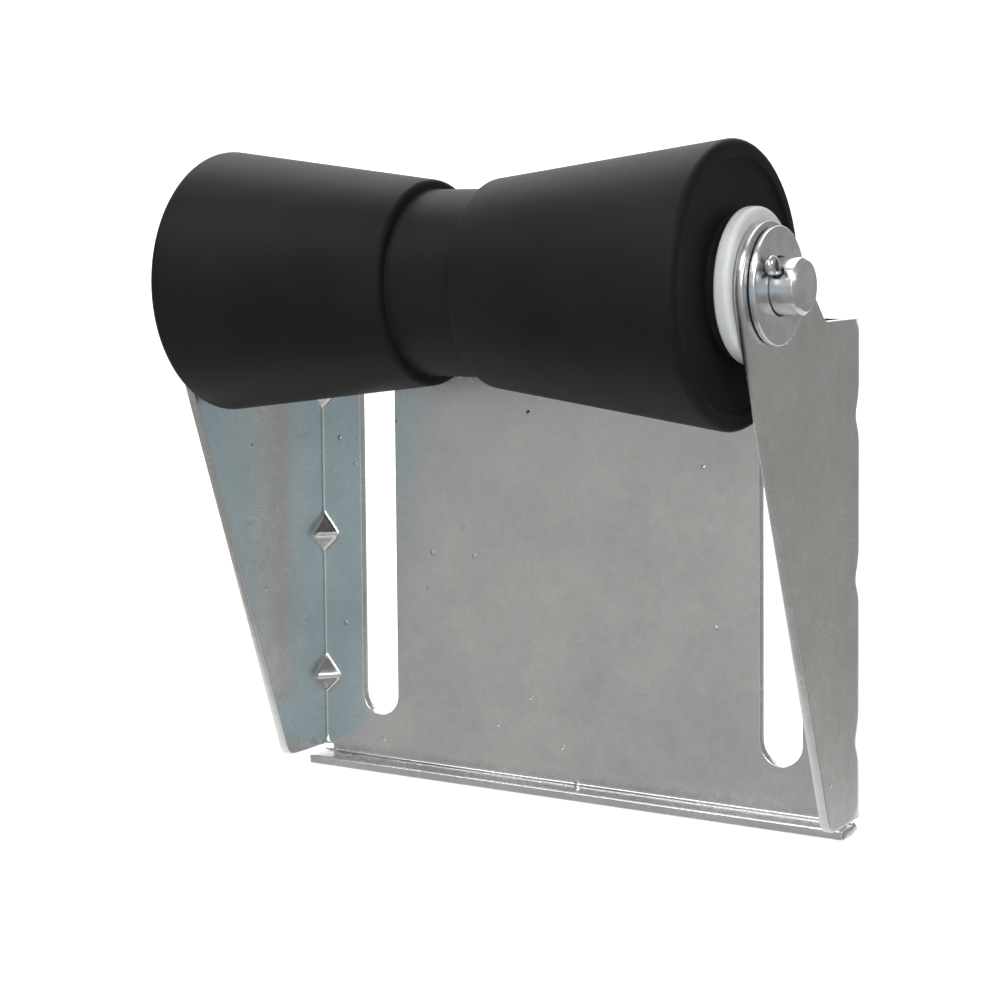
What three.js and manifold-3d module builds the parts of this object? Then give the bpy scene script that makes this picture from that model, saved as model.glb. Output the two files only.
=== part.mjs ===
// Bow roller for a boat trailer: a folded steel bracket carries a rubber spool roller on a
// steel pin, between nylon thrust washers, with a steel washer and a cotter pin at each end.
//
// Millimetres. The origin is the middle of the bracket's flat back face, +X runs along the
// pin towards the right ear, +Y points out of the back face and +Z is up.

import * as THREE from 'three';
import * as BufferGeometryUtils from 'three/addons/utils/BufferGeometryUtils.js';
import Module from 'manifold-3d';

const wasm = await Module();
wasm.setup();

// ---------------------------------------------------------------- driving dimensions

const SHEET = 3;                    // bracket sheet thickness
const BEND_INSIDE = 1.8;            // inside radius of every bend
const BEND_OUTSIDE = BEND_INSIDE + SHEET;
const HALF_WIDTH = 101;             // bracket centre to an ear's outer face
const PANEL_TOP = 78.5;
const PANEL_BOTTOM = -78.5;         // underside of the lip

const AXLE_Y = -64.5;               // pin centre, in front of the back face
const AXLE_Z = 90;
const AXLE_RADIUS = 7.94;           // 5/8 in pin
const AXLE_HALF_LENGTH = 111;
const AXLE_CHAMFER = 1;
const RUNNING_GAP = 0.08;

const EAR_TIP = { y: AXLE_Y - 1, z: AXLE_Z - 0.5, radius: 18.5 };
const EAR_FOOT = { y: -25.3, z: -73.2, radius: 4 };
const EAR_HOLE_RADIUS = 8.3;
const SHOULDER_FILLET = 5;          // where the ear's rear edge runs into the panel's top

const LIP_DEPTH = 12.3;             // back face to the lip's free edge
const LIP_HALF_LENGTH = 99.5;
const RELIEF = { bottom: -75.2, inner: 95.4 };   // corner notch between ear and lip

const SLOT = { x: 75, width: 14, halfLength: 60.5 };

const GUSSET_HEIGHTS = [-49.5, 0, 49.5];
const GUSSET_RISE = 6;              // how far a pressed gusset stands in from the corner
const GUSSET_SKIN = 1;              // sheet left outside a gusset's added metal
const GUSSET_HALF_HEIGHT = 7.3;
const DENT_DEPTH = 7;               // its dent, measured from the outer corner
const DENT_HALF_HEIGHT = 5.5;

const ROLLER = {
  slide: 1.7,                       // how far it has slid along the pin to the right
  halfLength: 89.3,
  endRadius: 41.2,
  smallRadius: 30.9,                // small end of each cone
  hubRadius: 28,
  hubHalfLength: 11.3,
  smallRound: 3.6,
  rimRound: 4,
  smallStart: 172,                  // degrees at which the small end's round begins
  smallLift: 0.4,
  landWidth: 1.5,
  recess: 1,                        // depth of the end face inside the rim land
  recessSlope: 0.5,
  bossRadius: 19,
  bossFlare: 0.8,                   // how much wider the boss is at its root
  bossFace: 90.9,                   // end of the boss that meets the thrust washer
  boreRadius: 12,
};

const BUSHING = { outerRadius: 11.85, inner: 62.3, outer: 90.7 };
const THRUST = { inner: 93, outer: 97.7, radius: 22, bore: 8.35, round: 1.3 };
const WASHER = { inner: 101.25, thickness: 2, radius: 16.65, bore: 8.35, round: 0.4 };

const COTTER = {
  x: 105.4,
  wireWidth: 3,                     // each leg is a flattened half-round
  legThickness: 1.4,
  legGap: 0.3,                      // between the flats of the two legs
  eyeRadius: 2.1,                   // to the middle of the wire
  eyeCentre: 11.9,                  // distance from the pin's axis
  eyeFrom: -40,                     // degrees around the eye, from one leg to the other
  eyeTo: 220,
  holeRadius: 1.95,
  splitAt: -9.4,                    // where the legs start to spread
  spread: 2.2,
  legEnd: -11.6,
  knee: 0.45,                       // share of the spread reached at the knee
  kneeRise: 0.9,
  flare: 0.4,                       // spread just past the pin
  blend: 1.2,                       // length over which a leg leaves the straight shank
  lean: 30,                         // degrees that the eye stands above level
};

const PAST = 1;                     // how far cutting tools run past the metal
const ROUND_SEGMENTS = 64;
const SMALL_SEGMENTS = 48;
const CROSS_HOLE_SEGMENTS = 20;
const EYE_SEGMENTS = 10;
const WIRE_STEPS = 40;
const ARC_SEGMENTS = 3;              // per quarter turn, twice over, in drawn outlines
const TIP_SEGMENTS = 24;

// ---------------------------------------------------------------- helpers

function degrees(angle) {
  return THREE.MathUtils.degToRad(angle);
}

// three.js geometry to a manifold solid
function solid(geometry) {
  const bare = geometry.index ? geometry.toNonIndexed() : geometry.clone();
  bare.deleteAttribute('normal');
  bare.deleteAttribute('uv');
  const merged = BufferGeometryUtils.mergeVertices(bare, 1e-4);
  return new wasm.Manifold(new wasm.Mesh({
    numProp: 3,
    vertProperties: new Float32Array(merged.attributes.position.array),
    triVerts: new Uint32Array(merged.index.array),
  }));
}

// manifold solid back to a three.js geometry
function geometryOf(manifold) {
  const mesh = manifold.getMesh();
  const geometry = new THREE.BufferGeometry();
  geometry.setAttribute('position', new THREE.BufferAttribute(mesh.vertProperties, 3));
  geometry.setIndex(new THREE.BufferAttribute(mesh.triVerts, 1));
  geometry.computeVertexNormals();
  return geometry;
}

// a box from its lowest to its highest corner
function block(low, high) {
  const size = high.map((value, i) => value - low[i]);
  const geometry = new THREE.BoxGeometry(...size);
  geometry.translate(...low.map((value, i) => value + size[i] / 2));
  return solid(geometry);
}

// an outline drawn in (y, z), extruded along X about the middle
function extrudeAlongX(shape, halfLength) {
  const geometry = new THREE.ExtrudeGeometry(shape, {
    depth: 2 * halfLength, bevelEnabled: false, curveSegments: ARC_SEGMENTS,
  });
  geometry.applyMatrix4(new THREE.Matrix4().makeBasis(
    new THREE.Vector3(0, 1, 0), new THREE.Vector3(0, 0, 1), new THREE.Vector3(1, 0, 0)));
  geometry.translate(-halfLength, 0, 0);
  return solid(geometry);
}

// a profile of [x, radius] points turned about the pin's axis
function turned(points, segments = ROUND_SEGMENTS) {
  const profile = points.map(([x, radius]) => new THREE.Vector2(radius, x));
  const geometry = new THREE.LatheGeometry(profile, segments);
  geometry.rotateZ(-Math.PI / 2);
  return geometry;
}

// points on an arc from one angle to another, in degrees, ends included
function arc(cx, cy, radius, from, to, steps) {
  const points = [];
  for (let i = 0; i <= steps; i++) {
    const angle = degrees(from + (to - from) * i / steps);
    points.push([cx + radius * Math.cos(angle), cy + radius * Math.sin(angle)]);
  }
  return points;
}

// a turned ring with rounded outer edges, between two x positions
function ring(inner, outer, bore, radius, round) {
  return turned([
    [inner, bore],
    ...arc(inner + round, radius - round, round, 180, 90, 2),
    ...arc(outer - round, radius - round, round, 90, 0, 2),
    [outer, bore],
    [inner, bore],
  ], SMALL_SEGMENTS);
}

// ---------------------------------------------------------------- bracket

// plan of the folded channel: back panel with an ear bent forward at each side
function channelPlan(front) {
  const outerCorner = HALF_WIDTH - BEND_OUTSIDE;
  const shape = new THREE.Shape();
  shape.moveTo(-HALF_WIDTH, front);
  shape.lineTo(-HALF_WIDTH + SHEET, front);
  shape.lineTo(-HALF_WIDTH + SHEET, -BEND_OUTSIDE);
  shape.absarc(-outerCorner, -BEND_OUTSIDE, BEND_INSIDE, Math.PI, Math.PI / 2, true);
  shape.lineTo(outerCorner, -SHEET);
  shape.absarc(outerCorner, -BEND_OUTSIDE, BEND_INSIDE, Math.PI / 2, 0, true);
  shape.lineTo(HALF_WIDTH - SHEET, front);
  shape.lineTo(HALF_WIDTH, front);
  shape.lineTo(HALF_WIDTH, -BEND_OUTSIDE);
  shape.absarc(outerCorner, -BEND_OUTSIDE, BEND_OUTSIDE, 0, Math.PI / 2, false);
  shape.lineTo(-outerCorner, 0);
  shape.absarc(-outerCorner, -BEND_OUTSIDE, BEND_OUTSIDE, Math.PI / 2, Math.PI, false);
  return shape;
}

// side outline of an ear and the panel behind it, in (y, z)
function earOutline() {
  const { y: tipY, z: tipZ, radius } = EAR_TIP;
  const rearAngle = degrees(45);
  const rear = {
    y: tipY + radius * Math.cos(rearAngle),
    z: tipZ + radius * Math.sin(rearAngle),
  };
  const shoulderY = rear.y + (rear.z - PANEL_TOP);
  const trim = SHOULDER_FILLET * Math.tan(rearAngle / 2);

  // front edge: the line from the foot that touches the tip's arc
  const toFoot = Math.atan2(EAR_FOOT.z - tipZ, EAR_FOOT.y - tipY);
  const reach = Math.hypot(EAR_FOOT.y - tipY, EAR_FOOT.z - tipZ);
  const frontAngle = toFoot - Math.acos(radius / reach);
  const front = {
    y: tipY + radius * Math.cos(frontAngle),
    z: tipZ + radius * Math.sin(frontAngle),
  };
  const edge = Math.atan2(EAR_FOOT.z - front.z, EAR_FOOT.y - front.y);
  const foot = EAR_FOOT.radius;

  const shape = new THREE.Shape();
  shape.moveTo(0, EAR_FOOT.z);
  shape.lineTo(0, PANEL_TOP);
  shape.lineTo(shoulderY + trim, PANEL_TOP);
  shape.quadraticCurveTo(shoulderY, PANEL_TOP,
    shoulderY - trim * Math.cos(rearAngle), PANEL_TOP + trim * Math.sin(rearAngle));
  shape.lineTo(rear.y, rear.z);
  const sweep = frontAngle + 2 * Math.PI - rearAngle;
  for (let i = 1; i <= TIP_SEGMENTS; i++) {
    const angle = rearAngle + sweep * i / TIP_SEGMENTS;
    shape.lineTo(tipY + radius * Math.cos(angle), tipZ + radius * Math.sin(angle));
  }
  shape.lineTo(EAR_FOOT.y - foot * Math.cos(edge), EAR_FOOT.z - foot * Math.sin(edge));
  shape.quadraticCurveTo(EAR_FOOT.y, EAR_FOOT.z, EAR_FOOT.y + foot, EAR_FOOT.z);
  return shape;
}

// side outline of the panel's foot and the lip bent forward from it, in (y, z)
function lipOutline(top) {
  const centreZ = PANEL_BOTTOM + BEND_OUTSIDE;
  const shape = new THREE.Shape();
  shape.moveTo(0, top);
  shape.lineTo(-SHEET, top);
  shape.lineTo(-SHEET, centreZ);
  shape.absarc(-BEND_OUTSIDE, centreZ, BEND_INSIDE, 0, -Math.PI / 2, true);
  shape.lineTo(-LIP_DEPTH, PANEL_BOTTOM + SHEET);
  shape.lineTo(-LIP_DEPTH, PANEL_BOTTOM);
  shape.lineTo(-BEND_OUTSIDE, PANEL_BOTTOM);
  shape.absarc(-BEND_OUTSIDE, centreZ, BEND_OUTSIDE, -Math.PI / 2, 0, false);
  return shape;
}

// a tall round-ended slot through the panel
function slot(x) {
  const radius = SLOT.width / 2;
  const straight = SLOT.halfLength - radius;
  const shape = new THREE.Shape();
  shape.moveTo(radius, -straight);
  shape.lineTo(radius, straight);
  shape.absarc(0, straight, radius, 0, Math.PI, false);
  shape.lineTo(-radius, -straight);
  shape.absarc(0, -straight, radius, Math.PI, 2 * Math.PI, false);
  const geometry = new THREE.ExtrudeGeometry(shape, {
    depth: 3 * SHEET, bevelEnabled: false, curveSegments: 3 * ARC_SEGMENTS,
  });
  geometry.rotateX(Math.PI / 2);
  geometry.translate(x, SHEET, 0);
  return solid(geometry);
}

// a four-sided spindle centred on a bend, its long axis along the bend
function spindle(x, y, z, depth, halfHeight) {
  const geometry = new THREE.OctahedronGeometry(1);
  geometry.scale(depth, depth, halfHeight);
  geometry.translate(x, y, z);
  return solid(geometry);
}

function bracket() {
  const front = EAR_TIP.y - EAR_TIP.radius - PAST;
  const top = EAR_TIP.z + EAR_TIP.radius + PAST;
  const channelGeometry = new THREE.ExtrudeGeometry(channelPlan(front), {
    depth: top - EAR_FOOT.z, bevelEnabled: false, curveSegments: ARC_SEGMENTS,
  });
  channelGeometry.translate(0, 0, EAR_FOOT.z);
  const channel = solid(channelGeometry).intersect(
    extrudeAlongX(earOutline(), HALF_WIDTH + PAST));

  const flatHalf = HALF_WIDTH - BEND_OUTSIDE;
  const footTop = EAR_FOOT.z + 2 * SHEET;
  const panelFoot = extrudeAlongX(lipOutline(footTop), flatHalf);
  const belowRelief = block(
    [-HALF_WIDTH, -LIP_DEPTH - PAST, PANEL_BOTTOM - PAST], [HALF_WIDTH, PAST, RELIEF.bottom]);
  const lip = extrudeAlongX(lipOutline(footTop), LIP_HALF_LENGTH).intersect(belowRelief);

  let body = channel.add(panelFoot).add(lip);
  for (const side of [-1, 1]) {
    const near = side * RELIEF.inner;
    const far = side * (HALF_WIDTH + PAST);
    body = body.subtract(block(
      [Math.min(near, far), -LIP_DEPTH - PAST, RELIEF.bottom],
      [Math.max(near, far), PAST, EAR_FOOT.z]));
    body = body.subtract(slot(side * SLOT.x));
    const innerCorner = side * (HALF_WIDTH - SHEET);
    const skin = side * (HALF_WIDTH - GUSSET_SKIN);
    const room = block(
      [Math.min(0, skin), front, PANEL_BOTTOM], [Math.max(0, skin), -GUSSET_SKIN, PANEL_TOP]);
    for (const z of GUSSET_HEIGHTS) {
      body = body.add(
        spindle(innerCorner, -SHEET, z, GUSSET_RISE, GUSSET_HALF_HEIGHT).intersect(room));
      body = body.subtract(
        spindle(side * HALF_WIDTH, 0, z, DENT_DEPTH, DENT_HALF_HEIGHT));
    }
  }
  const axleHole = new THREE.CylinderGeometry(
    EAR_HOLE_RADIUS, EAR_HOLE_RADIUS, 2 * (HALF_WIDTH + PAST), SMALL_SEGMENTS);
  axleHole.rotateZ(Math.PI / 2);
  axleHole.translate(0, AXLE_Y, AXLE_Z);
  return geometryOf(body.subtract(solid(axleHole)));
}

// ---------------------------------------------------------------- turned pieces

// right half of the roller's outline, from its middle out to the bore
function rollerHalf() {
  const r = ROLLER;
  const taper = Math.atan2(r.endRadius - r.smallRadius, r.halfLength - r.hubHalfLength);
  const tilt = THREE.MathUtils.radToDeg(taper);
  const smallX = r.hubHalfLength + r.smallRound;
  const rimX = r.halfLength - r.rimRound;
  const landRadius = r.endRadius - r.rimRound;
  return [
    [r.hubHalfLength, r.hubRadius],
    ...arc(smallX, r.smallRadius - r.smallRound + r.smallLift, r.smallRound,
      r.smallStart, 90 + tilt, 3),
    ...arc(rimX, landRadius, r.rimRound, 90 + tilt, 0, 5),
    [r.halfLength, landRadius - r.landWidth],
    [r.halfLength - r.recess, landRadius - r.landWidth - r.recessSlope * r.recess],
    [r.halfLength - r.recess, r.bossRadius + r.bossFlare],
    [r.bossFace, r.bossRadius],
    [r.bossFace, r.boreRadius],
  ];
}

function roller() {
  const right = rollerHalf();
  const left = right.map(([x, radius]) => [-x, radius]).reverse();
  return turned([...left, ...right, left[0]]).translate(ROLLER.slide, 0, 0);
}

function bushing(side) {
  const inner = side * BUSHING.inner;
  const outer = side * BUSHING.outer;
  const bore = AXLE_RADIUS + RUNNING_GAP;
  return turned([
    [Math.min(inner, outer), bore],
    [Math.min(inner, outer), BUSHING.outerRadius],
    [Math.max(inner, outer), BUSHING.outerRadius],
    [Math.max(inner, outer), bore],
    [Math.min(inner, outer), bore],
  ], SMALL_SEGMENTS).translate(ROLLER.slide, 0, 0);
}

function thrustWasher(side) {
  const inner = Math.min(side * THRUST.inner, side * THRUST.outer);
  const outer = Math.max(side * THRUST.inner, side * THRUST.outer);
  return ring(inner, outer, THRUST.bore, THRUST.radius, THRUST.round);
}

function steelWasher(side) {
  const near = side * WASHER.inner;
  const far = side * (WASHER.inner + WASHER.thickness);
  return ring(Math.min(near, far), Math.max(near, far), WASHER.bore, WASHER.radius,
    WASHER.round);
}

function axlePin() {
  const end = AXLE_HALF_LENGTH;
  const shoulder = end - AXLE_CHAMFER;
  const small = AXLE_RADIUS - AXLE_CHAMFER;
  let pin = solid(turned([
    [-end, 0], [-end, small], [-shoulder, AXLE_RADIUS],
    [shoulder, AXLE_RADIUS], [end, small], [end, 0],
  ], SMALL_SEGMENTS));
  for (const side of [-1, 1]) {
    const hole = new THREE.CylinderGeometry(
      COTTER.holeRadius, COTTER.holeRadius, 2 * (AXLE_RADIUS + PAST), CROSS_HOLE_SEGMENTS);
    hole.rotateX(degrees(-COTTER.lean));
    hole.translate(side * COTTER.x, 0, 0);
    pin = pin.subtract(solid(hole));
  }
  return geometryOf(pin);
}

// ---------------------------------------------------------------- cotter pin

// wire of two half-round legs, folded back on itself around the eye. It is drawn flat, with
// the shank along +Y and the legs spreading along X, then stood in the pin's cross hole.
function cotterPin() {
  const c = COTTER;
  const legMiddle = c.legGap / 2 + c.legThickness / 2;
  const leg = (hand) => [
    [hand * (legMiddle + c.spread), c.legEnd],
    [hand * (legMiddle + c.knee * c.spread), c.legEnd + c.kneeRise],
    [hand * (legMiddle + c.flare), c.splitAt - c.blend / 2],
    [hand * legMiddle, c.splitAt + c.blend],
    [hand * legMiddle, 0],
    [hand * legMiddle, c.eyeCentre - c.eyeRadius - c.blend],
  ];
  const eye = arc(0, c.eyeCentre, c.eyeRadius, c.eyeFrom, c.eyeTo, EYE_SEGMENTS);
  const route = [...leg(1), ...eye, ...leg(-1).reverse()];
  const curve = new THREE.CatmullRomCurve3(
    route.map(([x, y]) => new THREE.Vector3(x, y, 0)), false, 'centripetal');

  const section = new THREE.Shape();
  section.absellipse(0, 0, c.wireWidth / 2, c.legThickness / 2, 0, 2 * Math.PI);
  const geometry = new THREE.ExtrudeGeometry(section, {
    steps: WIRE_STEPS, extrudePath: curve, curveSegments: 4, bevelEnabled: false,
  });

  const shank = new THREE.Vector3(
    0, -Math.cos(degrees(c.lean)), Math.sin(degrees(c.lean)));
  const across = new THREE.Vector3(1, 0, 0);
  geometry.applyMatrix4(new THREE.Matrix4().makeBasis(
    new THREE.Vector3().crossVectors(shank, across), shank, across));
  return geometryOf(solid(geometry));
}

// the left cotter pin is the right one, turned half a turn about the pin
function placedCotterPin(side) {
  const geometry = cotterPin();
  if (side < 0) geometry.rotateX(Math.PI);
  geometry.translate(side * COTTER.x, 0, 0);
  return geometry;
}

// ---------------------------------------------------------------- assembly

const zincPlate = { color: 0x9a9c9b, roughness: 0.42, metalness: 0.85 };
const brightZinc = { color: 0xb9bcbd, roughness: 0.28, metalness: 0.95 };
const blackRubber = { color: 0x1d1c1b, roughness: 0.55, metalness: 0 };
const whiteNylon = { color: 0xe4e5e2, roughness: 0.4, metalness: 0 };

function part(name, geometry, look) {
  const mesh = new THREE.Mesh(geometry, new THREE.MeshStandardMaterial(look));
  mesh.name = name;
  return mesh;
}

const model = new THREE.Group();
model.add(part('bracket', bracket(), zincPlate));

const axleGroup = new THREE.Group();
axleGroup.position.set(0, AXLE_Y, AXLE_Z);
axleGroup.add(part('axle_pin', axlePin(), brightZinc));
axleGroup.add(part('rubber_roller', roller(), blackRubber));
for (const [name, side] of [['left', -1], ['right', 1]]) {
  axleGroup.add(part(`bore_bushing_${name}`, bushing(side), whiteNylon));
  axleGroup.add(part(`thrust_washer_${name}`, thrustWasher(side), whiteNylon));
  axleGroup.add(part(`axle_washer_${name}`, steelWasher(side), brightZinc));
  axleGroup.add(part(`cotter_pin_${name}`, placedCotterPin(side), brightZinc));
}
model.add(axleGroup);

export default model;
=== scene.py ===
import math

import bmesh
import bpy
import numpy as np
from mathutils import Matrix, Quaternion, Vector, geometry


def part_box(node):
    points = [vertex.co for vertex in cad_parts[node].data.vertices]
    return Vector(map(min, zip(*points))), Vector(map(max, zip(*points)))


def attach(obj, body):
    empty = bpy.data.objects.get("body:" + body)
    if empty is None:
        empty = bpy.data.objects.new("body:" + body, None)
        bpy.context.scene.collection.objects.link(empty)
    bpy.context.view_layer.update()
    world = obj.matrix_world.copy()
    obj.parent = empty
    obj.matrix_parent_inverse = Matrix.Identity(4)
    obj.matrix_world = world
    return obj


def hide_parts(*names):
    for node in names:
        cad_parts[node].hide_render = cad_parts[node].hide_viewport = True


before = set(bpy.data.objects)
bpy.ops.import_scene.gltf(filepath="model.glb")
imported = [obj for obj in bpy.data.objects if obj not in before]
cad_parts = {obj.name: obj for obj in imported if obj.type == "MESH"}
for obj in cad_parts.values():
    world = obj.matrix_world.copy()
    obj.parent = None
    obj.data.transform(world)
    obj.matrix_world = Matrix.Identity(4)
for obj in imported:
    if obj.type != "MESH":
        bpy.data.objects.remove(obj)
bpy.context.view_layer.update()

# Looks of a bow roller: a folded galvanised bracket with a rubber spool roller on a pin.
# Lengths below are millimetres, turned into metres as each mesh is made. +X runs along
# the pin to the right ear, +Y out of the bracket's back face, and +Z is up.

MM = 0.001


def corners(node):
    """A CAD node's lowest and highest corner, in millimetres."""
    low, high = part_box(node)
    return low / MM, high / MM


BRACKET_LOW, BRACKET_HIGH = corners("bracket")
PIN_LOW, PIN_HIGH = corners("axle_pin")
ROLLER_LOW, ROLLER_HIGH = corners("rubber_roller")
THRUST_LOW, THRUST_HIGH = corners("thrust_washer_right")
WASHER_LOW, WASHER_HIGH = corners("axle_washer_right")
COTTER_LOW, COTTER_HIGH = corners("cotter_pin_right")

AXLE = Vector((0, (PIN_LOW.y + PIN_HIGH.y) / 2, (PIN_LOW.z + PIN_HIGH.z) / 2))
PIN_RADIUS = (PIN_HIGH.z - PIN_LOW.z) / 2

# ------------------------------------------------------------------ meshes


def add_piece(name, verts, faces, material, body, replaces=()):
    """Makes a smooth mesh piece from millimetre points and hangs it on its CAD body."""
    mesh = bpy.data.meshes.new(name)
    mesh.from_pydata([Vector(v) * MM for v in verts], [], faces)
    bm = bmesh.new()
    bm.from_mesh(mesh)
    bmesh.ops.recalc_face_normals(bm, faces=bm.faces)
    bm.to_mesh(mesh)
    bm.free()
    for polygon in mesh.polygons:
        polygon.use_smooth = True
    mesh.materials.append(material)
    piece = bpy.data.objects.new(name, mesh)
    bpy.context.scene.collection.objects.link(piece)
    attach(piece, body)
    if replaces:
        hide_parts(*replaces)
    return piece


def rounded(points, radii, steps=5, closed=True):
    """Rounds a polyline's corners: each point has its own radius, 0 for a sharp one."""
    out = []
    count = len(points)
    for i, (point, radius) in enumerate(zip(points, radii)):
        here = Vector(point)
        if radius <= 0 or (not closed and i in (0, count - 1)):
            out.append(here)
            continue
        before = Vector(points[i - 1]) - here
        after = Vector(points[(i + 1) % count]) - here
        half = before.angle(after) / 2
        trim = min(radius / math.tan(half), 0.49 * before.length, 0.49 * after.length)
        radius = trim * math.tan(half)
        bisector = (before.normalized() + after.normalized()).normalized()
        centre = here + bisector * (radius / math.sin(half))
        start = here + before.normalized() * trim - centre
        end = here + after.normalized() * trim - centre
        first = math.atan2(start.y, start.x)
        sweep = math.remainder(math.atan2(end.y, end.x) - first, 2 * math.pi)
        for k in range(steps + 1):
            angle = first + sweep * k / steps
            out.append(centre + radius * Vector((math.cos(angle), math.sin(angle))))
    return out


def lathe(profile, segments=128, shift=None):
    """Turns a profile of (x, radius) about the pin. The profile closes on itself, or
    starts and ends on the axis. shift(x, radius, angle) may move a point's radius."""
    verts, rings = [], []
    for x, radius in profile:
        if radius < 1e-6:
            rings.append([len(verts)])
            verts.append((x, AXLE.y, AXLE.z))
            continue
        ring = []
        for i in range(segments):
            angle = 2 * math.pi * i / segments
            reach = radius + (shift(x, radius, angle) if shift else 0)
            ring.append(len(verts))
            verts.append((x, AXLE.y + reach * math.cos(angle),
                          AXLE.z + reach * math.sin(angle)))
        rings.append(ring)
    closed = len(rings[0]) > 1
    faces = []
    pairs = list(zip(rings, rings[1:] + rings[:1])) if closed else list(zip(rings, rings[1:]))
    for a, b in pairs:
        for i in range(segments):
            j = (i + 1) % segments
            quad = [a[i % len(a)], a[j % len(a)], b[j % len(b)], b[i % len(b)]]
            faces.append(list(dict.fromkeys(quad)))
    return verts, faces


# ------------------------------------------------------------------ camera

CAMERA_PLACE = Vector((0.3646, -0.6347, 0.1106))
CAMERA_TURN = math.radians(31.71)       # to the right of straight on
CAMERA_TILT = math.radians(4.0)         # down
CAMERA_ROLL = math.radians(-0.55)
CAMERA_LENS = 81.6
CAMERA_SHIFT = -0.128


def add_camera():
    data = bpy.data.cameras.new("camera")
    data.lens = CAMERA_LENS
    data.shift_y = CAMERA_SHIFT
    data.clip_start, data.clip_end = 0.01, 50
    camera = bpy.data.objects.new("camera", data)
    aim = Vector((-math.sin(CAMERA_TURN) * math.cos(CAMERA_TILT),
                  math.cos(CAMERA_TURN) * math.cos(CAMERA_TILT),
                  -math.sin(CAMERA_TILT)))
    camera.location = CAMERA_PLACE
    camera.rotation_mode = "QUATERNION"
    camera.rotation_quaternion = (
        aim.to_track_quat("-Z", "Y") @ Quaternion((0, 0, 1), CAMERA_ROLL))
    bpy.context.scene.collection.objects.link(camera)
    bpy.context.scene.camera = camera


# ------------------------------------------------------------------ materials


# the Mix node's sockets for colours
MIX_FACTOR, MIX_A, MIX_B, MIX_RESULT = 0, 6, 7, 2


class Nodes:
    """A short way to write a material's node tree."""

    def __init__(self, name):
        self.material = bpy.data.materials.new(name)
        self.material.use_nodes = True
        self.tree = self.material.node_tree
        self.shader = self.tree.nodes["Principled BSDF"]
        self.place = self.add("ShaderNodeTexCoord").outputs["Object"]

    def add(self, kind, inputs=None, **settings):
        node = self.tree.nodes.new(kind)
        for key, value in settings.items():
            setattr(node, key, value)
        for key, value in (inputs or {}).items():
            if isinstance(value, bpy.types.NodeSocket):
                self.tree.links.new(value, node.inputs[key])
            else:
                node.inputs[key].default_value = value
        return node

    def noise(self, scale, detail=3.0, roughness=0.5, distortion=0.0, place=None):
        node = self.add("ShaderNodeTexNoise", {
            "Vector": place or self.place, "Scale": scale, "Detail": detail,
            "Roughness": roughness, "Distortion": distortion})
        return node.outputs["Fac"]

    def stretch(self, scale):
        return self.add("ShaderNodeMapping", {
            "Vector": self.place, "Scale": scale}).outputs["Vector"]

    def ramp(self, value, stops, smooth=True):
        node = self.add("ShaderNodeValToRGB", {"Fac": value})
        node.color_ramp.interpolation = "EASE" if smooth else "LINEAR"
        elements = node.color_ramp.elements
        while len(elements) < len(stops):
            elements.new(0.5)
        for element, (position, colour) in zip(elements, stops):
            element.position = position
            level = (colour,) * 3 if isinstance(colour, (int, float)) else colour
            element.color = (*level, 1)
        return node.outputs["Color"]

    def math(self, operation, a, b=0.0, clamp=False):
        node = self.add("ShaderNodeMath", {0: a, 1: b}, operation=operation, use_clamp=clamp)
        return node.outputs[0]

    def mix(self, factor, a, b, blend="MIX"):
        node = self.add("ShaderNodeMix", {MIX_FACTOR: factor, MIX_A: a, MIX_B: b},
                        data_type="RGBA", blend_type=blend)
        return node.outputs[MIX_RESULT]

    def range(self, value, low, high):
        node = self.add("ShaderNodeMapRange", {"Value": value, "To Min": low, "To Max": high})
        return node.outputs["Result"]

    def bump(self, height, distance, strength=1.0, onto=None):
        inputs = {"Height": height, "Distance": distance, "Strength": strength}
        if onto is not None:
            inputs["Normal"] = onto
        return self.add("ShaderNodeBump", inputs).outputs["Normal"]

    def link(self, value, socket):
        self.tree.links.new(value, self.shader.inputs[socket])

    def set(self, **values):
        for key, value in values.items():
            self.shader.inputs[key.replace("_", " ")].default_value = value


def galvanised_steel():
    n = Nodes("galvanised_steel")
    cloud = n.noise(24, 4, 0.6, 0.3)
    mottle = n.noise(260, 4, 0.65, 0.6)
    fine = n.noise(1400, 2)
    base = n.ramp(cloud, [(0.3, (0.565, 0.57, 0.565)), (0.7, (0.635, 0.64, 0.635))])
    base = n.mix(0.22, base, n.ramp(mottle, [(0.3, 0.40), (0.7, 0.62)]), "OVERLAY")
    n.link(base, "Base Color")
    n.set(Metallic=1.0)
    rough = n.math("ADD", n.range(mottle, 0.19, 0.31), n.range(cloud, -0.03, 0.05))
    n.link(rough, "Roughness")
    pit = n.add("ShaderNodeTexVoronoi", {"Vector": n.place, "Scale": 95, "Randomness": 1.0})
    pimple = n.ramp(pit.outputs["Distance"], [(0.0, 1.0), (0.11, 0.0)])
    sparse = n.ramp(pit.outputs["Color"], [(0.54, 0.0), (0.62, 1.0)])
    relief = n.bump(n.math("MULTIPLY", pimple, sparse), 0.00026, 1.0)
    relief = n.bump(mottle, 0.00006, 0.5, relief)
    relief = n.bump(fine, 0.000012, 0.6, relief)
    relief = n.bump(n.noise(36, 2), 0.0006, 0.35, relief)
    n.link(relief, "Normal")
    return n.material


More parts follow.
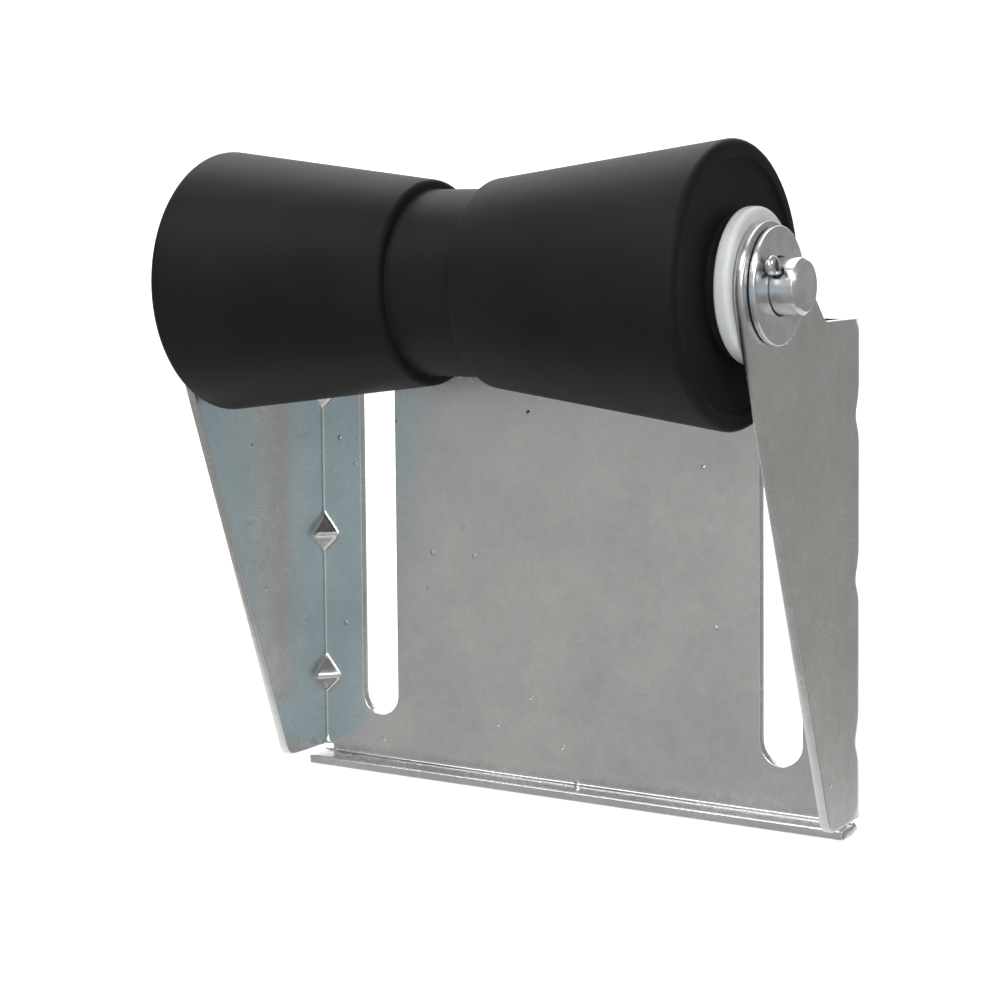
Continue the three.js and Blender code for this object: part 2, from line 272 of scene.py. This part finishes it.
def black_rubber():
    n = Nodes("black_rubber")
    cloud = n.noise(20, 4, 0.55, 0.2)
    grain = n.noise(900, 3, 0.6)
    n.link(n.ramp(cloud, [(0.3, (0.0085, 0.0083, 0.0077)), (0.7, (0.013, 0.0126, 0.0117))]),
           "Base Color")
    n.set(Specular_IOR_Level=0.08)
    n.link(n.math("ADD", n.range(cloud, 0.46, 0.56), n.range(grain, -0.04, 0.04)), "Roughness")
    n.link(n.bump(grain, 0.00004, 0.5, n.bump(n.noise(45, 3), 0.0005, 0.3)), "Normal")
    return n.material


def white_nylon():
    n = Nodes("white_nylon")
    cloud = n.noise(90, 3)
    n.link(n.ramp(cloud, [(0.3, (0.74, 0.75, 0.74)), (0.7, (0.84, 0.85, 0.84))]), "Base Color")
    n.set(Subsurface_Weight=0.25, Subsurface_Scale=0.003, Roughness=0.4)
    n.link(n.bump(n.noise(500, 3), 0.00004, 0.5), "Normal")
    return n.material


def bright_zinc():
    n = Nodes("bright_zinc")
    cloud = n.noise(120, 3)
    turned = n.noise(30, 2, 0.5, 0.0, n.stretch((60.0, 1.0, 1.0)))
    n.link(n.ramp(cloud, [(0.3, (0.56, 0.57, 0.58)), (0.7, (0.68, 0.69, 0.70))]), "Base Color")
    n.set(Metallic=0.95)
    n.link(n.range(cloud, 0.16, 0.3), "Roughness")
    n.link(n.bump(turned, 0.00003, 0.5), "Normal")
    return n.material


GALVANISED = galvanised_steel()
RUBBER = black_rubber()
NYLON = white_nylon()
ZINC = bright_zinc()

# ------------------------------------------------------------------ bracket

SHEET = 3.0
BEND_INSIDE = 1.8
BEND_MIDDLE = BEND_INSIDE + SHEET / 2
BEND_OUTSIDE = BEND_INSIDE + SHEET
BEND_LENGTH = BEND_MIDDLE * math.pi / 2
HALF_WIDTH = BRACKET_HIGH.x
PANEL_BOTTOM = BRACKET_LOW.z
PANEL_TOP = -PANEL_BOTTOM               # the origin is the panel's middle
FLAT_HALF = HALF_WIDTH - BEND_OUTSIDE   # the panel's flat part
LIP_FOLD = PANEL_BOTTOM + BEND_OUTSIDE  # height where the lip starts to bend
LIP_DEPTH = 12.3
LIP_HALF = 99.5
RELIEF_HALF = 95.4
RELIEF_BOTTOM = -75.3

EAR_RADIUS = 18.5
EAR_TIP = Vector((BRACKET_LOW.y + EAR_RADIUS, BRACKET_HIGH.z - EAR_RADIUS))
EAR_FOOT = Vector((-25.3, -73.2))
EAR_FOOT_ROUND = 4.6
SHOULDER_ROUND = 5.0
LIP_END_ROUND = 1.5
LIP_TOP_ROUND = 1.2
RELIEF_ROUND = 0.9
EAR_TIP_STEPS = 40
EAR_HOLE = 8.3

SLOT_MIDDLE = 75.0
SLOT_RADIUS = 7.0
SLOT_STRAIGHT = 53.5

GUSSET_HEIGHTS = {-1.0: (-48.8, 0.7, 50.2), 1.0: (-49.5, 0.0, 49.5)}
GUSSET_REACH = 9.0                      # half height of the stretch that a press changes
GUSSET_INNER = (-1.9, 0.62, 0.7)        # ridge, slope and roundness on the inner face
GUSSET_OUTER = (2.7, 0.34, 2.2)         # and on the outer face
GUSSET_UNDERCUT = 1.3                   # how much steeper it is below the ridge
GUSSET_SOFT = 0.32
CORNER_SQUARENESS = (5.0, 2.0)          # of a bend's inner and outer faces, 2 being round

EDGE_ROUND = 0.5
EDGE_STEPS = 3
EDGE_BAND = 0.35                        # flat band beside the rounded edge
HALF_SHEET = SHEET / 2


def around(turn, w):
    """A point on a bend, from its centre, a turn round from where the flat sheet ends."""
    share = w / SHEET + 0.5
    power = CORNER_SQUARENESS[0] * (1 - share) + CORNER_SQUARENESS[1] * share
    c, s = math.cos(turn), math.sin(turn)
    radius = (BEND_MIDDLE + w) / (abs(c) ** power + abs(s) ** power) ** (1 / power)
    return radius * s, radius * c


def gusset_limit(b, w):
    """How far out a bend may reach, a height b above a gusset's ridge."""
    share = w / SHEET + 0.5
    ridge, slope, roundness = (
        inner * (1 - share) + outer * share
        for inner, outer in zip(GUSSET_INNER, GUSSET_OUTER))
    if b < 0:
        slope *= GUSSET_UNDERCUT
    return ridge + slope * (math.hypot(b, roundness) - roundness)


def fold(u, v, w):
    """Folds a point of the flat sheet. u and v are the sheet's own axes, and w is the
    height above its middle, positive on the outside of every bend."""
    side = -1.0 if u < 0 else 1.0
    away = abs(u)
    if v < LIP_FOLD:
        along = LIP_FOLD - v
        down, back = around(min(along / BEND_MIDDLE, math.pi / 2), w)
        rest = max(along - BEND_LENGTH, 0.0)
        return Vector((u, back - BEND_OUTSIDE - rest, LIP_FOLD - down))
    if away <= FLAT_HALF:
        x, y = away, w - HALF_SHEET
    else:
        out, back = around(min((away - FLAT_HALF) / BEND_MIDDLE, math.pi / 2), w)
        rest = max(away - FLAT_HALF - BEND_LENGTH, 0.0)
        x, y = FLAT_HALF + out, back - BEND_OUTSIDE - rest
    for height in GUSSET_HEIGHTS[side]:
        b = v - height
        if abs(b) > GUSSET_REACH:
            continue
        reach = ((x - FLAT_HALF) + (y + BEND_OUTSIDE)) / math.sqrt(2)
        excess = (reach - gusset_limit(b, w)) / GUSSET_SOFT
        push = GUSSET_SOFT * (math.log1p(math.exp(excess)) if excess < 30 else excess)
        x -= push / math.sqrt(2)
        y -= push / math.sqrt(2)
    return Vector((side * x, y, v))


def ear_u(y):
    """Place along the flat sheet of a point at depth y on a folded ear."""
    return FLAT_HALF + BEND_LENGTH - BEND_OUTSIDE - y


def sheet_outline():
    """The flat sheet's outline, anticlockwise, without its holes."""
    rear = EAR_TIP + EAR_RADIUS * Vector((1, 1)).normalized()
    to_foot = EAR_FOOT - EAR_TIP
    front_angle = (math.atan2(to_foot.y, to_foot.x)
                   - math.acos(EAR_RADIUS / to_foot.length) + 2 * math.pi)
    front = EAR_TIP + EAR_RADIUS * Vector((math.cos(front_angle), math.sin(front_angle)))
    shoulder = Vector((rear.x + rear.y - PANEL_TOP, PANEL_TOP))
    lip_end = LIP_FOLD - BEND_LENGTH - (LIP_DEPTH - BEND_OUTSIDE)

    lower = rounded(
        [(0, lip_end), (LIP_HALF, lip_end), (LIP_HALF, RELIEF_BOTTOM),
         (RELIEF_HALF, RELIEF_BOTTOM), (RELIEF_HALF, EAR_FOOT.y),
         (ear_u(EAR_FOOT.x), EAR_FOOT.y), (ear_u(front.x), front.y)],
        [0, LIP_END_ROUND, LIP_TOP_ROUND, RELIEF_ROUND, RELIEF_ROUND, EAR_FOOT_ROUND, 0],
        6, closed=False)[1:-1]
    tip = []
    for i in range(EAR_TIP_STEPS + 1):
        angle = front_angle + (math.pi / 4 - front_angle) * i / EAR_TIP_STEPS
        point = EAR_TIP + EAR_RADIUS * Vector((math.cos(angle), math.sin(angle)))
        tip.append(Vector((ear_u(point.x), point.y)))
    upper = rounded([(ear_u(rear.x), rear.y), (ear_u(shoulder.x), shoulder.y), (0, PANEL_TOP)],
                    [0, SHOULDER_ROUND, 0], 8, False)[1:-1]
    right = lower + tip + upper
    left = [Vector((-p.x, p.y)) for p in reversed(right)]
    return right + left


def slot_outline(x, steps=20):
    out = []
    for middle, start in ((SLOT_STRAIGHT, 0.0), (-SLOT_STRAIGHT, math.pi)):
        for i in range(steps + 1):
            angle = start + math.pi * i / steps
            out.append(Vector((x + SLOT_RADIUS * math.cos(angle),
                               middle + SLOT_RADIUS * math.sin(angle))))
    return out


def hole_outline(side, steps=64):
    centre = Vector((side * ear_u(AXLE.y), AXLE.z))
    return [centre + EAR_HOLE * Vector((math.cos(2 * math.pi * i / steps),
                                        math.sin(2 * math.pi * i / steps)))
            for i in range(steps)]


def densify(loop, longest):
    """Adds points so that no edge of a loop is longer than a limit."""
    out = []
    for here, there in zip(loop, loop[1:] + loop[:1]):
        pieces = max(1, math.ceil((there - here).length / longest))
        out += [here.lerp(there, i / pieces) for i in range(pieces)]
    return out


def inward(loop, distance, solid_inside):
    """A loop moved into the material by a distance, point for point."""
    sign = 1.0 if solid_inside else -1.0
    out = []
    count = len(loop)
    for i, here in enumerate(loop):
        before = (here - loop[i - 1]).normalized()
        after = (loop[(i + 1) % count] - here).normalized()
        middle = (before + after).normalized()
        stretch = 1 / max(0.5, middle.dot(after))
        out.append(here + Vector((-middle.y, middle.x)) * distance * sign * stretch)
    return out


def inside(points, loop):
    """Which of an array of points are inside a loop."""
    x, y = points[:, 0], points[:, 1]
    found = np.zeros(len(points), bool)
    for a, b in zip(loop, loop[1:] + loop[:1]):
        crosses = (a.y > y) != (b.y > y)
        with np.errstate(divide="ignore", invalid="ignore"):
            at = (b.x - a.x) * (y - a.y) / (b.y - a.y) + a.x
        found ^= crosses & (x < at)
    return found


def clearance(points, loops):
    """Each point's distance to the nearest edge of any loop."""
    best = np.full(len(points), 1e9)
    for loop in loops:
        for a, b in zip(loop, loop[1:] + loop[:1]):
            edge = np.array((b.x - a.x, b.y - a.y))
            offset = points - np.array((a.x, a.y))
            along = np.clip(offset @ edge / max(edge @ edge, 1e-9), 0, 1)
            best = np.minimum(best, np.hypot(*(offset - along[:, None] * edge).T))
    return best


FINE_STEP = 0.65                        # spacing of the sheet's points in bends and gussets
FINE_REACH = 9.1                        # how far that spacing goes on either side
BEND_REACH = 3.25                       # and between the gussets
BEND_ROW_STEP = 3.0
EAR_STEP = 6.0
PANEL_STEP = 6.0
LIP_STEP = 7.0
LOWEST_BEND_ROW = -72
LOWEST_PANEL_ROW = -68
NEAR_EDGE, FAR_EDGE = 0.3, 2.0          # least distance from a point to the sheet's edge


def sheet_points():
    """Points over the flat sheet, close together in the bends and the gussets."""
    bend = FLAT_HALF + BEND_LENGTH / 2
    points = []

    def grid(u_values, v_values, gap):
        points.extend((u, v, gap) for u in u_values for v in v_values)

    for side in (-1.0, 1.0):
        heights = GUSSET_HEIGHTS[side]
        fine_v = [v for h in heights
                  for v in np.arange(h - FINE_REACH, h + FINE_REACH + 0.4, FINE_STEP)]
        coarse_v = [v for v in np.arange(LOWEST_BEND_ROW, PANEL_TOP, BEND_ROW_STEP)
                    if min(abs(v - h) for h in heights) > GUSSET_REACH + 1]
        columns = side * np.arange(bend - FINE_REACH, bend + FINE_REACH + 0.1, FINE_STEP)
        grid(columns, fine_v, NEAR_EDGE)
        narrow = side * np.arange(bend - BEND_REACH, bend + BEND_REACH + 0.05, FINE_STEP)
        grid(narrow, coarse_v, NEAR_EDGE)
        grid(side * np.arange(bend + 12, ear_u(BRACKET_LOW.y), EAR_STEP),
             np.arange(LOWEST_BEND_ROW, BRACKET_HIGH.z, EAR_STEP), FAR_EDGE)
    grid(np.arange(-90, 90.1, PANEL_STEP),
         np.arange(LOWEST_PANEL_ROW, PANEL_TOP, PANEL_STEP), FAR_EDGE)
    grid(np.arange(-98, 98.1, LIP_STEP),
         np.arange(LIP_FOLD - BEND_LENGTH, LIP_FOLD + 0.1, BEND_LENGTH / 8), 0.2)
    return np.array(points)


def sheet_metal(name):
    outline = densify(sheet_outline(), 4.0)
    holes = [densify(slot_outline(side * SLOT_MIDDLE), 6.0) for side in (-1, 1)]
    holes += [hole_outline(side) for side in (-1, 1)]
    loops = [(outline, True)] + [(hole, False) for hole in holes]

    # the edge's section, from the inner face round to the outer face
    section = [(EDGE_ROUND + EDGE_BAND, -HALF_SHEET)]
    for i in range(EDGE_STEPS + 1):
        angle = math.pi / 2 * i / EDGE_STEPS
        section.append((EDGE_ROUND * (1 - math.sin(angle)),
                        -HALF_SHEET + EDGE_ROUND * (1 - math.cos(angle))))
    section += [(inset, -w) for inset, w in reversed(section)]

    verts, faces, inner_rings, outer_rings = [], [], [], []
    for loop, solid_inside in loops:
        rings = []
        for inset, w in section:
            ring = inward(loop, inset, solid_inside)
            rings.append(range(len(verts), len(verts) + len(ring)))
            verts += [fold(p.x, p.y, w) for p in ring]
        for a, b in zip(rings, rings[1:]):
            for i in range(len(a)):
                j = (i + 1) % len(a)
                faces.append((a[i], a[j], b[j], b[i]))
        inner_rings.append((inward(loop, section[0][0], solid_inside), rings[0]))
        outer_rings.append(rings[-1])

    borders = [ring for ring, _ in inner_rings]
    field = sheet_points()
    flat = field[:, :2]
    keep = inside(flat, borders[0])
    for border in borders[1:]:
        keep &= ~inside(flat, border)
    keep &= clearance(flat, borders) > field[:, 2]
    flat = flat[keep]

    seeds, edges, owners = [], [], []
    for (ring, inner_ids), outer_ids in zip(inner_rings, outer_rings):
        start = len(seeds)
        seeds += [Vector(p) for p in ring]
        owners += list(zip(inner_ids, outer_ids))
        edges += [(start + i, start + (i + 1) % len(ring)) for i in range(len(ring))]
    for u, v in flat:
        seeds.append(Vector((u, v)))
        owners.append((len(verts), len(verts) + 1))
        verts.append(fold(u, v, -HALF_SHEET))
        verts.append(fold(u, v, HALF_SHEET))
    out_verts, _, triangles, origin, _, _ = geometry.delaunay_2d_cdt(seeds, edges, [], 0, 1e-5)
    centres = np.array([[sum(out_verts[i].x for i in t) / 3, sum(out_verts[i].y for i in t) / 3]
                        for t in triangles])
    keep = inside(centres, borders[0])
    for border in borders[1:]:
        keep &= ~inside(centres, border)
    for triangle, kept in zip(triangles, keep):
        if kept:
            ids = [owners[origin[i][0]] for i in triangle]
            faces.append([i[0] for i in ids])
            faces.append([i[1] for i in reversed(ids)])
    return add_piece(name, verts, faces, GALVANISED, "bracket", ["bracket"])


# ------------------------------------------------------------------ roller and washers


ROLLER_SLIDE = (ROLLER_LOW.x + ROLLER_HIGH.x) / 2
HUB_RADIUS = 28.0
HUB_HALF = 11.3
CONE_SMALL = 30.9
CONE_LARGE = (ROLLER_HIGH.z - ROLLER_LOW.z) / 2
RIM_X = 89.3
BOSS_FACE = ROLLER_HIGH.x - ROLLER_SLIDE
BORE_RADIUS = 12.0
BOSS_RADIUS = 19.0
BOSS_ROOT = 19.8
LAND_DEPTH = 4.9                        # rim to the inner edge of the end's flat land
RECESS = 1.0
SMALL_ROUND = 3.6
RIM_ROUND = 4.0


def rubber_roller():
    half = [(HUB_HALF, HUB_RADIUS), (HUB_HALF + 0.3, CONE_SMALL + 0.05), (RIM_X, CONE_LARGE),
            (RIM_X, CONE_LARGE - LAND_DEPTH), (RIM_X - RECESS, CONE_LARGE - LAND_DEPTH - 0.5),
            (RIM_X - RECESS, BOSS_ROOT), (BOSS_FACE, BOSS_RADIUS), (BOSS_FACE, BORE_RADIUS)]
    radii = [0.5, SMALL_ROUND, RIM_ROUND, 0.35, 0.5, 1.2, 0.8, 0.3]
    profile = rounded([(-x, r) for x, r in reversed(half)] + half,
                      list(reversed(radii)) + radii, 7)
    fine = []
    for here, there in zip(profile, profile[1:] + profile[:1]):
        pieces = max(1, math.ceil((there - here).length / 8))
        fine += [here.lerp(there, i / pieces) for i in range(pieces)]
    verts, faces = lathe([(x + ROLLER_SLIDE, r) for x, r in fine], 160)
    return add_piece("rubber_spool", verts, faces, RUBBER, "roller",
                     ["rubber_roller"])


WASHER_BORE = 8.35


def thrust_washer(side, name):
    inner, outer = THRUST_LOW.x, THRUST_HIGH.x
    radius = (THRUST_HIGH.z - THRUST_LOW.z) / 2
    profile = rounded([(inner, WASHER_BORE), (inner, radius), (outer - 0.2, radius),
                       (outer, radius - 3), (outer, WASHER_BORE)],
                      [0.3, 1.2, 1.5, 2.0, 0.3], 6)
    verts, faces = lathe([(side * x, r) for x, r in profile], 128)
    return add_piece(f"nylon_disc_{name}", verts, faces, NYLON, f"thrust_washer_{name}",
                     [f"thrust_washer_{name}"])


def axle_washer(side, name):
    inner, outer = WASHER_LOW.x, WASHER_HIGH.x
    radius = (WASHER_HIGH.z - WASHER_LOW.z) / 2
    profile = rounded([(inner, WASHER_BORE), (inner, radius), (outer, radius),
                       (outer, WASHER_BORE)], [0.15, 0.35, 0.6, 0.3], 5)
    verts, faces = lathe([(side * x, r) for x, r in profile], 128)
    return add_piece(f"steel_washer_{name}", verts, faces, ZINC, f"axle_washer_{name}",
                     [f"axle_washer_{name}"])


PIN_CHAMFER = 1.0
COTTER_X = (COTTER_LOW.x + COTTER_HIGH.x) / 2
COTTER_HOLE = 1.95
COTTER_LEAN = math.radians(30)          # how far the right eye stands above level
WIRE_WIDTH = 3.0
WIRE_THICKNESS = 1.4
LEG_MIDDLE = 0.85                       # shank's middle to the middle of a leg
LEG_SPREAD = 2.2
LEG_END = -11.6
LEG_SPLIT = -9.4
LEG_KNEE = 0.45                         # share of the spread reached at the knee
KNEE_RISE = 0.9
LEG_FLARE = 0.4                         # spread just past the pin
EYE_CENTRE = 11.9
EYE_RADIUS = 2.1
EYE_FROM, EYE_SWEEP = -40, 260          # degrees around the eye, from leg to leg
EYE_STEPS = 12


def cut_round(piece, centre, direction, radius, length, segments=32):
    """Drills a round hole through a piece. Lengths are millimetres."""
    turn = Vector(direction).to_track_quat("Z", "Y").to_matrix()
    verts, faces = [], []
    for end in (-length, length):
        for i in range(segments):
            angle = 2 * math.pi * i / segments
            verts.append(Vector(centre) + turn @ Vector(
                (radius * math.cos(angle), radius * math.sin(angle), end)))
    for i in range(segments):
        j = (i + 1) % segments
        faces.append((i, j, segments + j, segments + i))
    faces += [list(reversed(range(segments))), list(range(segments, 2 * segments))]
    mesh = bpy.data.meshes.new("drill")
    mesh.from_pydata([v * MM for v in verts], [], faces)
    drill = bpy.data.objects.new("drill", mesh)
    bpy.context.scene.collection.objects.link(drill)
    cut = piece.modifiers.new("drill", "BOOLEAN")
    cut.operation, cut.solver, cut.object = "DIFFERENCE", "EXACT", drill
    bpy.context.view_layer.update()
    drilled = bpy.data.meshes.new_from_object(
        piece.evaluated_get(bpy.context.evaluated_depsgraph_get()))
    piece.modifiers.remove(cut)
    piece.data = drilled
    bpy.data.objects.remove(drill)


def axle_pin():
    end = PIN_HIGH.x
    small = PIN_RADIUS - PIN_CHAMFER
    profile = rounded([(-end, 0), (-end, small), (-end + PIN_CHAMFER, PIN_RADIUS),
                       (end - PIN_CHAMFER, PIN_RADIUS), (end, small), (end, 0)],
                      [0, 0.3, 0.4, 0.4, 0.3, 0], 4, closed=False)
    fine = []
    for here, there in zip(profile, profile[1:]):
        pieces = max(1, math.ceil((there - here).length / 10))
        fine += [here.lerp(there, i / pieces) for i in range(pieces)]
    fine.append(profile[-1])
    verts, faces = lathe(fine, 96)
    piece = add_piece("steel_pin", verts, faces, ZINC, "axle",
                      ["axle_pin"])
    shank = (0, -math.cos(COTTER_LEAN), math.sin(COTTER_LEAN))
    for side in (-1, 1):
        cut_round(piece, (side * COTTER_X, AXLE.y, AXLE.z), shank, COTTER_HOLE, 12)
    piece.data.set_sharp_from_angle(angle=math.radians(30))


def wire_route():
    """Middle line of a cotter pin's wire, in its own plane, the eye at the top."""
    def leg(hand):
        return [(hand * (LEG_MIDDLE + LEG_SPREAD), LEG_END),
                (hand * (LEG_MIDDLE + LEG_KNEE * LEG_SPREAD), LEG_END + KNEE_RISE),
                (hand * (LEG_MIDDLE + LEG_FLARE), LEG_SPLIT - 0.6),
                (hand * LEG_MIDDLE, LEG_SPLIT + 1.2),
                (hand * LEG_MIDDLE, 0),
                (hand * LEG_MIDDLE, EYE_CENTRE - EYE_RADIUS - 1.2)]
    eye = []
    for i in range(EYE_STEPS + 1):
        angle = math.radians(EYE_FROM + EYE_SWEEP * i / EYE_STEPS)
        eye.append((EYE_RADIUS * math.cos(angle), EYE_CENTRE + EYE_RADIUS * math.sin(angle)))
    knots = [Vector(p) for p in leg(1) + eye + leg(-1)[::-1]]
    knots = [2 * knots[0] - knots[1]] + knots + [2 * knots[-1] - knots[-2]]
    times = [0.0]
    for here, there in zip(knots, knots[1:]):
        times.append(times[-1] + math.sqrt((there - here).length))
    route = []
    for i in range(1, len(knots) - 2):
        p, t = knots[i - 1:i + 3], times[i - 1:i + 3]
        for k in range(6):
            u = t[1] + (t[2] - t[1]) * k / 6
            a = [p[j].lerp(p[j + 1], (u - t[j]) / (t[j + 1] - t[j])) for j in range(3)]
            b = [a[j].lerp(a[j + 1], (u - t[j]) / (t[j + 2] - t[j])) for j in range(2)]
            route.append(b[0].lerp(b[1], (u - t[1]) / (t[2] - t[1])))
    return route + [knots[-2]]


def cotter_pin(side, name):
    section = [(-WIRE_THICKNESS / 2, a * WIRE_WIDTH) for a in (-0.32, -0.1, 0.1, 0.32)]
    for i in range(13):
        angle = math.pi * (0.04 + 0.92 * i / 12)
        section.append((WIRE_THICKNESS * (math.sin(angle) - 0.5),
                        WIRE_WIDTH / 2 * math.cos(angle)))
    up = Vector((0, -math.cos(COTTER_LEAN), math.sin(COTTER_LEAN))) * side
    across = Vector((1, 0, 0))
    sideways = up.cross(across)
    centre = Vector((side * COTTER_X, AXLE.y, AXLE.z))
    route = wire_route()
    verts, faces = [], []
    for i, point in enumerate(route):
        along = (route[min(i + 1, len(route) - 1)] - route[max(i - 1, 0)]).normalized()
        outward = Vector((along.y, -along.x))
        taper = 0.82 if i in (0, len(route) - 1) else 1.0
        for out, wide in section:
            flat = point + outward * out * taper
            verts.append(centre + sideways * flat.x + up * flat.y + across * wide * taper)
    count = len(section)
    for i in range(len(route) - 1):
        for k in range(count):
            m = (k + 1) % count
            faces.append((i * count + k, i * count + m,
                          (i + 1) * count + m, (i + 1) * count + k))
    faces += [list(range(count)), list(range(len(verts) - count, len(verts)))]
    piece = add_piece(f"cotter_{name}", verts, faces, ZINC, "axle",
                      [f"cotter_pin_{name}"])
    piece.data.set_sharp_from_angle(angle=math.radians(50))


FLOOR_DROP = 150                        # below the bracket
FLOOR_FRONT, FLOOR_BACK, FLOOR_TOP = -180, 2600, 3200
FLOOR_LEFT, FLOOR_RIGHT = -4000, 320
FLOOR_CURVE = 1400


def stage():
    """A plain pale floor that curves up into a backdrop behind the object. It stops close
    in front and to the right, where bare steel would reflect it too brightly."""
    floor = BRACKET_LOW.z - FLOOR_DROP
    profile = rounded([(FLOOR_FRONT, floor), (FLOOR_BACK, floor), (FLOOR_BACK, FLOOR_TOP)],
                      [0, FLOOR_CURVE, 0], 24, False)
    verts, faces = [], []
    for i, point in enumerate(profile):
        verts += [(FLOOR_LEFT, point.x, point.y), (FLOOR_RIGHT, point.x, point.y)]
        if i:
            faces.append((2 * i - 2, 2 * i - 1, 2 * i + 1, 2 * i))
    mesh = bpy.data.meshes.new("floor")
    mesh.from_pydata([Vector(v) * MM for v in verts], [], faces)
    for polygon in mesh.polygons:
        polygon.use_smooth = True
    n = Nodes("pale_floor")
    n.link(n.ramp(n.noise(2, 2), [(0.3, 0.82), (0.7, 0.84)]), "Base Color")
    n.set(Roughness=0.9)
    mesh.materials.append(n.material)
    obj = bpy.data.objects.new("floor", mesh)
    bpy.context.scene.collection.objects.link(obj)


def area_light(name, place, target, size, power, colour=(1, 1, 1)):
    data = bpy.data.lights.new(name, "AREA")
    data.shape = "RECTANGLE"
    data.size, data.size_y = size
    data.energy = power
    data.color = colour
    light = bpy.data.objects.new(name, data)
    light.location = place
    light.rotation_mode = "QUATERNION"
    light.rotation_quaternion = (Vector(target) - Vector(place)).to_track_quat("-Z", "Y")
    bpy.context.scene.collection.objects.link(light)


WORLD_COLOUR = (1.0, 0.97, 0.94, 1)
WORLD_STRENGTH = 0.38
MIDDLE = (0, -0.05, 0.03)


def lights():
    world = bpy.data.worlds.new("studio")
    world.use_nodes = True
    background = world.node_tree.nodes["Background"]
    background.inputs["Color"].default_value = WORLD_COLOUR
    background.inputs["Strength"].default_value = WORLD_STRENGTH
    bpy.context.scene.world = world
    area_light("rear", (-1.4, 1.3, 1.7), (-1.4, 2.2, 0), (2.6, 2.4), 70)
    area_light("key", (-0.7, -1.1, 1.3), MIDDLE, (0.8, 0.8), 12)
    area_light("front", (-1.25, -2.15, -0.3), (0, 0, 0), (2.4, 2.0), 2.2)
    area_light("near", (0.15, -1.4, 0.55), (0, -0.05, 0.05), (0.5, 0.5), 7)
    area_light("fill", (1.3, -0.85, 0.95), MIDDLE, (0.7, 0.7), 7)
    area_light("top", (-0.35, 0.0, 1.5), (-0.2, 0, 0), (0.7, 0.7), 3)
    area_light("cool", (0.95, -1.5, -0.31), (0, 0, 0), (1.4, 0.85), 2.1, (0.48, 0.84, 1.0))
    view = bpy.context.scene.view_settings
    view.view_transform = "Standard"
    view.exposure = 0


add_camera()
sheet_metal("folded_bracket")
rubber_roller()
axle_pin()
for side, name in ((-1, "left"), (1, "right")):
    thrust_washer(side, name)
    axle_washer(side, name)
    cotter_pin(side, name)
stage()
lights()

for node in ("bore_bushing_left", "bore_bushing_right"):
    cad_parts[node].data.materials.clear()
    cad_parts[node].data.materials.append(NYLON)
